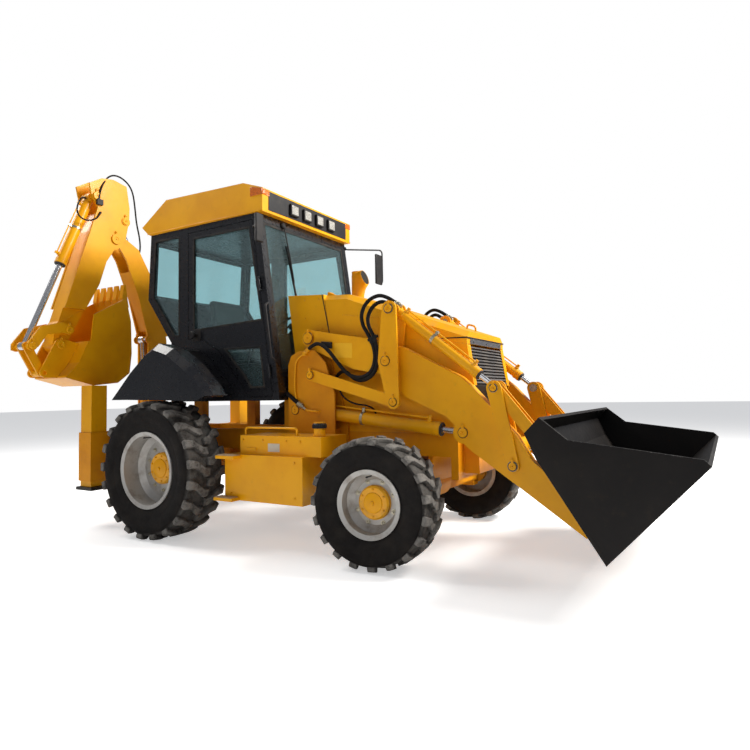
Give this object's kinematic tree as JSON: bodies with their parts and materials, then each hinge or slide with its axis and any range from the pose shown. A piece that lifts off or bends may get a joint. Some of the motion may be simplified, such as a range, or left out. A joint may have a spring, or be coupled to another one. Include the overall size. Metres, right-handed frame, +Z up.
{
  "type": "backhoe loader",
  "caption": "Backhoe loader with a front bucket on lifting arms, a glazed cab, two stabiliser legs and a side-shifting, swinging digging arm at the rear.",
  "frame": {"origin": "on the ground in the machine's middle plane, below the rear axle", "axes": "+X forward towards the loader bucket, +Y to the machine's left, +Z up"},
  "size_m": [5.969, 2.766, 3.5999],
  "materials": {
    "yellow_paint": "glossy yellow paint, slightly dusty",
    "frame_paint": "satin yellow paint",
    "black_paint": "glossy black paint",
    "bucket_black": "satin black paint, scuffed at the lip",
    "silver_rim": "satin silver paint",
    "tyre_rubber": "matt rubber, dusty grey on the lugs",
    "bright_steel": "hard chrome",
    "pin_steel": "greased steel",
    "dark_casting": "dark cast iron",
    "glass": "lightly tinted safety glass",
    "black_plastic": "grained black plastic",
    "grille_dark": "dark louvres"
  },
  "bodies": {
    "chassis": {"main_frame": "frame_paint", "rear_frame": "frame_paint", "front_axle": "frame_paint", "rear_axle": "frame_paint", "engine": "dark_casting", "engine_cowl": "yellow_paint", "grille": "grille_dark", "cab_frame": "black_paint", "cab_roof": "yellow_paint", "cab_glass": "glass", "operator_seat": "black_plastic", "fenders": "black_paint", "tanks": "yellow_paint", "mirrors": "black_plastic", "roof_lamps": "black_plastic"},
    "knuckle_left": {"knuckle_left": "frame_paint"},
    "knuckle_right": {"knuckle_right": "frame_paint"},
    "front_wheel_left": {"front_tyre_left": "tyre_rubber", "front_rim_left": "silver_rim"},
    "rear_wheel_left": {"rear_tyre_left": "tyre_rubber", "rear_rim_left": "silver_rim"},
    "front_wheel_right": {"front_tyre_right": "tyre_rubber", "front_rim_right": "silver_rim"},
    "rear_wheel_right": {"rear_tyre_right": "tyre_rubber", "rear_rim_right": "silver_rim"},
    "door_right": {"door_right": "black_paint", "door_glass_right": "glass"},
    "door_left": {"door_left": "black_paint", "door_glass_left": "glass"},
    "hood": {"hood": "yellow_paint"},
    "loader_arms": {"loader_arms": "yellow_paint"},
    "bellcranks": {"bellcranks": "yellow_paint"},
    "levelling_links": {"levelling_links": "yellow_paint"},
    "tilt_pins": {"tilt_pins": "pin_steel"},
    "tilt_barrels": {"tilt_barrels": "yellow_paint"},
    "tilt_rods": {"tilt_rods": "bright_steel"},
    "lift_barrels": {"lift_barrels": "yellow_paint"},
    "lift_rods": {"lift_rods": "bright_steel"},
    "lever_pins": {"lever_pins": "pin_steel"},
    "levers": {"levers": "yellow_paint"},
    "link_pins": {"link_pins": "pin_steel"},
    "bucket_links": {"bucket_links": "yellow_paint"},
    "bucket_pins": {"bucket_pins": "pin_steel"},
    "loader_bucket": {"loader_bucket": "bucket_black"},
    "side_carriage": {"side_carriage": "frame_paint"},
    "stabiliser_right": {"stabiliser_right": "yellow_paint"},
    "stabiliser_left": {"stabiliser_left": "yellow_paint"},
    "swing_post": {"swing_post": "yellow_paint"},
    "boom": {"boom": "yellow_paint"},
    "dipper": {"dipper": "yellow_paint"},
    "hoe_bucket": {"hoe_bucket": "yellow_paint"},
    "boom_barrel": {"boom_barrel": "yellow_paint"},
    "boom_rod": {"boom_rod": "bright_steel"},
    "dipper_barrel": {"dipper_barrel": "yellow_paint"},
    "dipper_rod": {"dipper_rod": "bright_steel"},
    "hoe_rockers": {"hoe_rockers": "yellow_paint"},
    "hoe_link": {"hoe_link": "yellow_paint"},
    "hoe_bucket_barrel": {"hoe_bucket_barrel": "yellow_paint"},
    "hoe_bucket_rod": {"hoe_bucket_rod": "bright_steel"}
  },
  "joints": [
    {"name": "steer", "type": "hinge", "parent": "chassis", "child": "knuckle_left", "pos_m": [2.155, 0.85, 0.46], "axis": [0, 0, 1], "range_deg": [-35, 25]},
    {"name": "steer_right", "type": "hinge", "parent": "chassis", "child": "knuckle_right", "pos_m": [2.155, -0.85, 0.46], "axis": [0, 0, 1], "range_deg": [-35, 25]},
    {"name": "front_wheel_left", "type": "hinge", "parent": "knuckle_left", "child": "front_wheel_left", "pos_m": [2.14419, 0.97353, 0.46], "axis": [-0.0872, 0.9962, 0], "continuous": true},
    {"name": "rear_wheel_left", "type": "hinge", "parent": "chassis", "child": "rear_wheel_left", "pos_m": [0, 1.045, 0.597], "axis": [0, 1, 0], "continuous": true},
    {"name": "front_wheel_right", "type": "hinge", "parent": "knuckle_right", "child": "front_wheel_right", "pos_m": [2.16581, -0.97353, 0.46], "axis": [-0.0872, 0.9962, 0], "continuous": true},
    {"name": "rear_wheel_right", "type": "hinge", "parent": "chassis", "child": "rear_wheel_right", "pos_m": [0, -1.045, 0.597], "axis": [0, 1, 0], "continuous": true},
    {"name": "door_right", "type": "hinge", "parent": "chassis", "child": "door_right", "pos_m": [0.977, -0.707, 1.25], "axis": [-0.1414, 0, 0.9899], "range_deg": [0, 80]},
    {"name": "door_left", "type": "hinge", "parent": "chassis", "child": "door_left", "pos_m": [0.977, 0.707, 1.25], "axis": [0.1414, 0, -0.9899], "range_deg": [0, 80]},
    {"name": "hood", "type": "hinge", "parent": "chassis", "child": "hood", "pos_m": [1.328, 0, 2.118], "axis": [0, -1, 0], "range_deg": [0, 55]},
    {"name": "loader_lift", "type": "hinge", "parent": "chassis", "child": "loader_arms", "pos_m": [1.255, 0, 1.708], "axis": [0, -1, 0], "range_deg": [-6.2, 65]},
    {"name": "bellcranks", "type": "hinge", "parent": "loader_arms", "child": "bellcranks", "pos_m": [2.056, 0, 1.476], "axis": [0, -1, 0], "range_deg": [-66, 7.2]},
    {"name": "levelling_links", "type": "hinge", "parent": "chassis", "child": "levelling_links", "pos_m": [1.317, 0, 1.388], "axis": [0, -1, 0], "range_deg": [-7.2, 66]},
    {"name": "tilt_pins", "type": "hinge", "parent": "bellcranks", "child": "tilt_pins", "pos_m": [2.095, 0, 1.882], "axis": [0, -1, 0], "range_deg": [-8.31, 77.62]},
    {"name": "lift_barrels", "type": "hinge", "parent": "chassis", "child": "lift_barrels", "pos_m": [1.13, 0, 1.095], "axis": [0, -1, 0], "range_deg": [-6.13, 54.74]},
    {"name": "lift_rods", "type": "slide", "parent": "lift_barrels", "child": "lift_rods", "axis": [0.9939, 0, -0.1102], "range_m": [-0.0646, 0.58246]},
    {"name": "lever_pins", "type": "hinge", "parent": "loader_arms", "child": "lever_pins", "pos_m": [3.027, 0, 0.702], "axis": [0, -1, 0], "range_deg": [-50.08, 5.68]},
    {"name": "bucket_pins", "type": "hinge", "parent": "loader_arms", "child": "bucket_pins", "pos_m": [3.575, 0, 0.3], "axis": [0, -1, 0], "range_deg": [-65.18, 7.12]},
    {"name": "bucket_tilt", "type": "hinge", "parent": "bucket_pins", "child": "loader_bucket", "pos_m": [3.575, 0, 0.3], "axis": [0, 1, 0], "range_deg": [0, 85]},
    {"name": "levers", "type": "hinge", "parent": "lever_pins", "child": "levers", "pos_m": [3.027, 0, 0.702], "axis": [0, 1, 0], "range_deg": [-1, 68.73]},
    {"name": "link_pins", "type": "hinge", "parent": "levers", "child": "link_pins", "pos_m": [2.902, 0, 1.249], "axis": [0, -1, 0], "range_deg": [-6.55, 59.22]},
    {"name": "bucket_links", "type": "hinge", "parent": "link_pins", "child": "bucket_links", "pos_m": [2.902, 0, 1.249], "axis": [0, -1, 0], "range_deg": [-1, 78.09]},
    {"name": "tilt_barrels", "type": "hinge", "parent": "tilt_pins", "child": "tilt_barrels", "pos_m": [2.095, 0, 1.882], "axis": [0, -1, 0], "range_deg": [-1, 7.47]},
    {"name": "tilt_rods", "type": "slide", "parent": "tilt_barrels", "child": "tilt_rods", "axis": [0.7868, 0, -0.6172], "range_m": [-0.01, 0.618]},
    {"name": "side_shift", "type": "slide", "parent": "chassis", "child": "side_carriage", "axis": [0, 1, 0], "range_m": [-0.8, 0.4]},
    {"name": "stabiliser_right", "type": "slide", "parent": "chassis", "child": "stabiliser_right", "axis": [0, 0, -1], "range_m": [0, 0.34]},
    {"name": "stabiliser_left", "type": "slide", "parent": "chassis", "child": "stabiliser_left", "axis": [0, 0, -1], "range_m": [0, 0.34]},
    {"name": "swing", "type": "hinge", "parent": "side_carriage", "child": "swing_post", "pos_m": [-1.45, 0.23, 0.745], "axis": [0, 0, -1], "range_deg": [0, 180]},
    {"name": "boom", "type": "hinge", "parent": "swing_post", "child": "boom", "pos_m": [-1.45, 0, 1], "axis": [1, 0, 0], "range_deg": [0, 100]},
    {"name": "dipper", "type": "hinge", "parent": "boom", "child": "dipper", "pos_m": [-1.45, -0.575, 2.95], "axis": [-1, 0, 0], "range_deg": [0, 100]},
    {"name": "hoe_bucket", "type": "hinge", "parent": "dipper", "child": "hoe_bucket", "pos_m": [-1.45, -1.17, 1.76], "axis": [-1, 0, 0], "range_deg": [0, 125]},
    {"name": "boom_barrel", "type": "hinge", "parent": "swing_post", "child": "boom_barrel", "pos_m": [-1.45, -0.046, 0.474], "axis": [1, 0, 0], "range_deg": [-1, 70.77]},
    {"name": "boom_rod", "type": "slide", "parent": "boom_barrel", "child": "boom_rod", "axis": [0, -0.0557, 0.9984], "range_m": [-0.58226, 0.01]},
    {"name": "dipper_barrel", "type": "hinge", "parent": "boom", "child": "dipper_barrel", "pos_m": [-1.45, 0.17, 2.01], "axis": [-1, 0, 0], "range_deg": [-7.2, 1]},
    {"name": "dipper_rod", "type": "slide", "parent": "dipper_barrel", "child": "dipper_rod", "axis": [0, -0.4757, 0.8796], "range_m": [-0.37751, 0.01]},
    {"name": "hoe_bucket_barrel", "type": "hinge", "parent": "dipper", "child": "hoe_bucket_barrel", "pos_m": [-1.45, -0.81, 3.366], "axis": [-1, 0, 0], "range_deg": [-3.15, 1]},
    {"name": "hoe_bucket_rod", "type": "slide", "parent": "hoe_bucket_barrel", "child": "hoe_bucket_rod", "axis": [0, -0.3751, -0.927], "range_m": [-0.65441, 0.01]},
    {"name": "hoe_rockers", "type": "hinge", "parent": "dipper", "child": "hoe_rockers", "pos_m": [-1.45, -1.101, 1.916], "axis": [-1, 0, 0], "range_deg": [-1, 104.73]},
    {"name": "hoe_link", "type": "hinge", "parent": "hoe_rockers", "child": "hoe_link", "pos_m": [-1.45, -1.47, 1.735], "axis": [-1, 0, 0], "range_deg": [-51.96, 1]}
  ],
  "couplings": [
    {"joint": "steer_right", "follows": "steer", "ratio": 1},
    {"joint": "bellcranks", "follows": "loader_lift", "ratio": -1},
    {"joint": "levelling_links", "follows": "loader_lift", "ratio": 1},
    {"joint": "tilt_pins", "follows": "loader_lift", "ratio": 1.1788},
    {"joint": "lift_barrels", "follows": "loader_lift", "ratio": 0.82681},
    {"joint": "lift_rods", "follows": "loader_lift", "m_per_rad": 0.50461},
    {"joint": "lever_pins", "follows": "loader_lift", "ratio": -0.755},
    {"joint": "bucket_pins", "follows": "loader_lift", "ratio": -0.9874},
    {"joint": "levers", "follows": "bucket_tilt", "ratio": 0.79678},
    {"joint": "link_pins", "follows": "loader_lift", "ratio": 0.89563},
    {"joint": "bucket_links", "follows": "bucket_tilt", "ratio": 0.9069},
    {"joint": "tilt_barrels", "follows": "bucket_tilt", "ratio": 0.07611},
    {"joint": "tilt_rods", "follows": "bucket_tilt", "m_per_rad": 0.40983},
    {"joint": "boom_barrel", "follows": "boom", "ratio": 0.69769},
    {"joint": "boom_rod", "follows": "boom", "m_per_rad": -0.32788},
    {"joint": "dipper_barrel", "follows": "dipper", "ratio": -0.06197},
    {"joint": "dipper_rod", "follows": "dipper", "m_per_rad": -0.21057},
    {"joint": "hoe_bucket_barrel", "follows": "hoe_bucket", "ratio": -0.017176},
    {"joint": "hoe_bucket_rod", "follows": "hoe_bucket", "m_per_rad": -0.29538},
    {"joint": "hoe_rockers", "follows": "hoe_bucket", "ratio": 0.82983},
    {"joint": "hoe_link", "follows": "hoe_bucket", "ratio": -0.40767}
  ]
}
